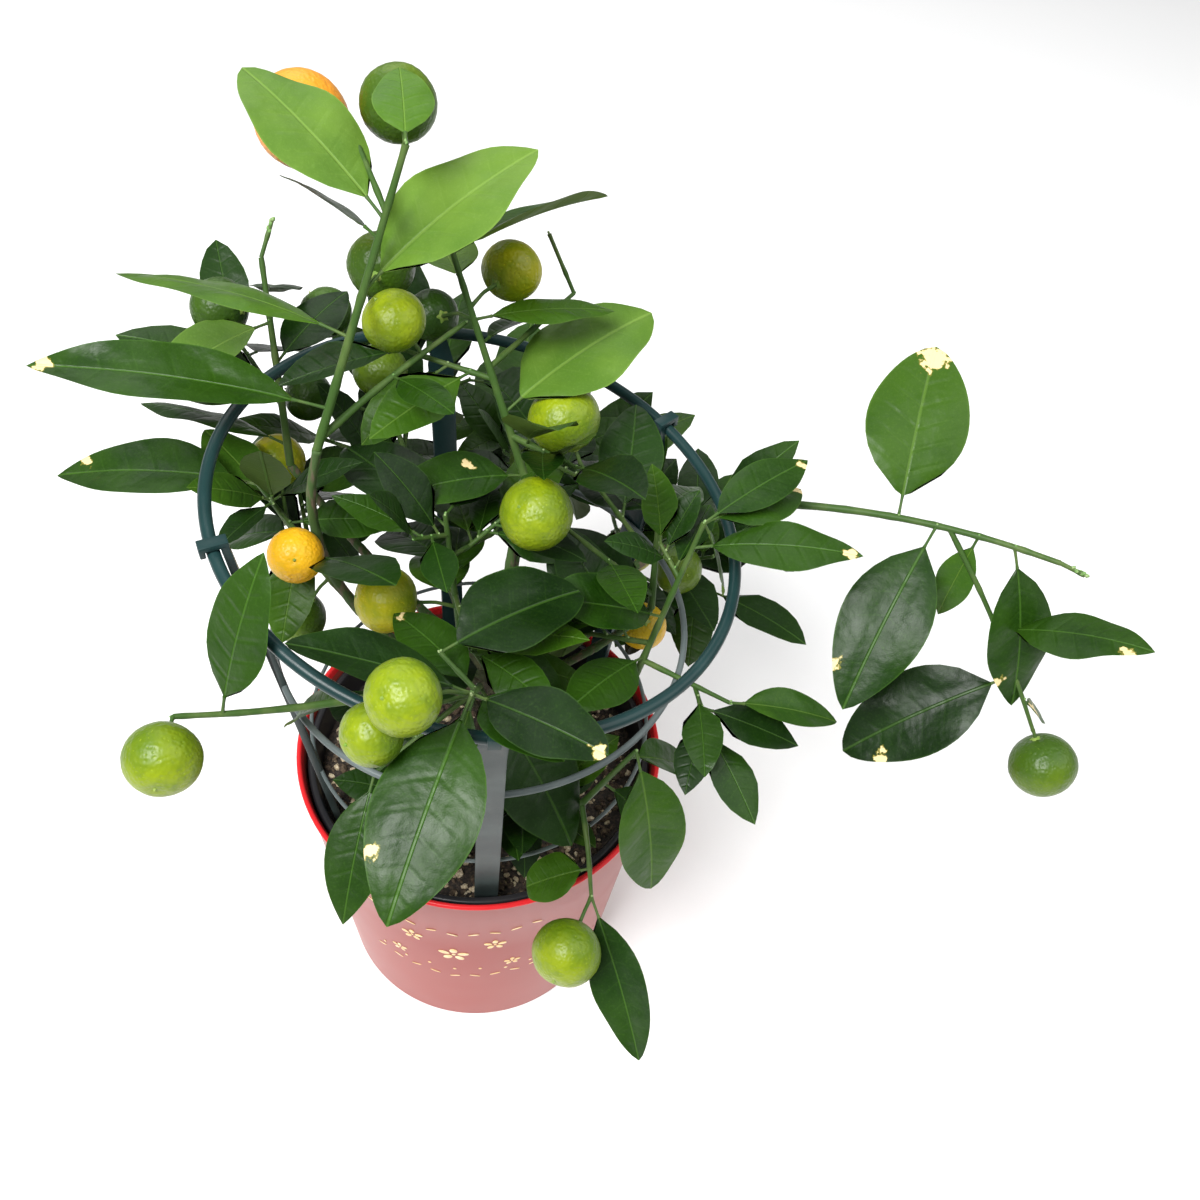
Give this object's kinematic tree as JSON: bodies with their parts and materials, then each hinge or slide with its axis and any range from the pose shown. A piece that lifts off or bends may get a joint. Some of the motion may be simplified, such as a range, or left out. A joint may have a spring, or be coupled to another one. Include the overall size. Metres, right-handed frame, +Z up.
{
  "type": "potted calamondin orange tree",
  "caption": "Small many-stemmed citrus bush with round green to orange fruits, held by a ring trellis, in a nursery pot inside a red cover pot.",
  "frame": {"origin": "centre of the cover pot's flat underside", "axes": "+Z up; -Y towards the front of the plant, +X towards the long side shoot"},
  "size_m": [0.4131, 0.3548, 0.4373],
  "materials": {
    "cover_pot": "glossy red plastic with a small gold print",
    "nursery_pot": "thin black plastic",
    "soil": "damp peat and bark mix with pale granules",
    "trellis": "dark blue-green moulded plastic",
    "bark": "grey-brown bark, finely furrowed",
    "bough": "young green-brown bark",
    "foliage": "glossy dark green leaves",
    "twig": "green young bark",
    "fruit": "pebbled citrus rind, green to orange",
    "gold_print": "thin gold print"
  },
  "bodies": {
    "root": {"pot_cover": "cover_pot", "pot_nursery": "nursery_pot", "soil": "soil", "trellis_hoop_top": "trellis", "trellis_hoop_middle": "trellis", "trellis_hoop_bottom": "trellis", "trellis_upright_front": "trellis", "trellis_upright_left": "trellis", "trellis_upright_back": "trellis", "trellis_upright_right": "trellis", "trunk": "bark", "bough_left_leader": "bough", "bough_centre_leader": "bough", "bough_inner": "bough", "bough_left_rear": "bough", "bough_left_mid": "bough", "bough_left_low": "bough", "bough_front": "bough", "bough_front_low": "bough", "bough_front_right": "bough", "bough_right_side": "bough", "bough_right_leader": "bough", "bough_right_arm": "bough", "bough_back_right": "bough", "bough_back_centre": "bough", "bough_back_left": "bough", "foliage_top_left": "foliage", "foliage_top_centre": "foliage", "foliage_centre": "foliage", "foliage_left_upper": "foliage", "foliage_left_mid": "foliage", "foliage_left_low": "foliage", "foliage_front_centre": "foliage", "foliage_front_low": "foliage", "foliage_front_right": "foliage", "foliage_right_shoulder": "foliage", "foliage_upper_right": "foliage", "foliage_right_reach": "foliage", "foliage_back_left": "foliage", "foliage_back_centre": "foliage", "foliage_back_right": "foliage"}
  },
  "joints": []
}
